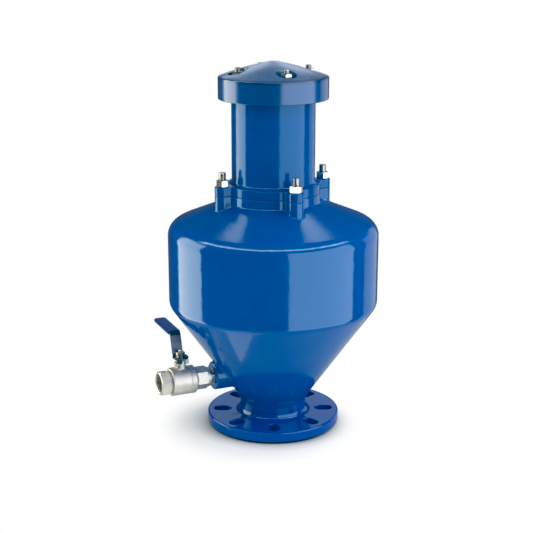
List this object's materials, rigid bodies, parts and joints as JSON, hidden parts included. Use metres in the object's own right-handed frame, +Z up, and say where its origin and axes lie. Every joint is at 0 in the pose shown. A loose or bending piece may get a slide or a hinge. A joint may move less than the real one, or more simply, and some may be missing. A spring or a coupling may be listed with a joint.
{
  "type": "air release valve",
  "caption": "Flanged air release valve: a float chamber under a hooded cylinder lets air out and closes on rising water, with a lever ball valve as side drain.",
  "frame": {"origin": "centre of the inlet flange's raised face", "axes": "+Z up along the valve's axis, -Y the front of the casting, -X along the drain valve"},
  "size_m": [0.3735, 0.343, 0.604],
  "materials": {
    "blue_paint": "glossy epoxy paint on cast iron",
    "stainless": "bright stainless",
    "cast_stainless": "satin investment cast stainless",
    "lever_steel": "satin strip",
    "grip_vinyl": "dipped vinyl",
    "seal_rubber": "matt",
    "white_ptfe": "waxy",
    "float_plastic": "satin",
    "nozzle_bronze": "machined"
  },
  "bodies": {
    "casing": {"body": "blue_paint", "upper_cover": "blue_paint", "cap": "blue_paint", "joint_o_ring": "seal_rubber", "seat_o_ring": "seal_rubber", "seat_gasket": "seal_rubber", "guide_spider": "stainless", "seat_ring": "stainless", "drain_nipple": "stainless", "gland_nut": "stainless", "valve_end": "cast_stainless", "valve_body": "cast_stainless", "guide_bush": "white_ptfe", "thrust_washer": "white_ptfe", "stem_packing": "white_ptfe", "joint_stud_1": "stainless", "joint_stud_2": "stainless", "joint_stud_3": "stainless", "joint_stud_4": "stainless", "joint_nut_1": "stainless", "joint_nut_2": "stainless", "joint_nut_3": "stainless", "joint_nut_4": "stainless", "cap_spacer_1": "stainless", "cap_spacer_2": "stainless", "cap_spacer_3": "stainless", "cap_spacer_4": "stainless", "cap_stud_1": "stainless", "cap_stud_2": "stainless", "cap_stud_3": "stainless", "cap_stud_4": "stainless", "cap_washer_1": "stainless", "cap_washer_2": "stainless", "cap_washer_3": "stainless", "cap_washer_4": "stainless", "cap_nut_1": "stainless", "cap_nut_2": "stainless", "cap_nut_3": "stainless", "cap_nut_4": "stainless", "ball_seat_1": "white_ptfe", "ball_seat_2": "white_ptfe"},
    "obturator": {"obturator_disc": "float_plastic", "nozzle": "nozzle_bronze", "yoke": "stainless"},
    "float_set": {"rod_head": "stainless", "nozzle_pad": "seal_rubber", "cross_pin": "stainless", "float_rod": "stainless", "main_float": "float_plastic", "float_washer_1": "stainless", "float_washer_2": "stainless", "float_nut_1": "stainless", "float_nut_2": "stainless"},
    "drain_lever": {"ball": "stainless", "stem": "stainless", "lever": "lever_steel", "lever_grip": "grip_vinyl", "lever_washer": "stainless", "lever_nut": "stainless"}
  },
  "joints": [
    {"name": "obturator_lift", "type": "slide", "parent": "casing", "child": "obturator", "axis": [0, 0, 1], "range_m": [0, 0.04]},
    {"name": "float_lift", "type": "slide", "parent": "obturator", "child": "float_set", "axis": [0, 0, 1], "range_m": [0, 0.005]},
    {"name": "drain_lever_turn", "type": "hinge", "parent": "casing", "child": "drain_lever", "pos_m": [-0.164, 0, 0.093], "axis": [0, 0, 1], "range_deg": [0, 90]}
  ]
}
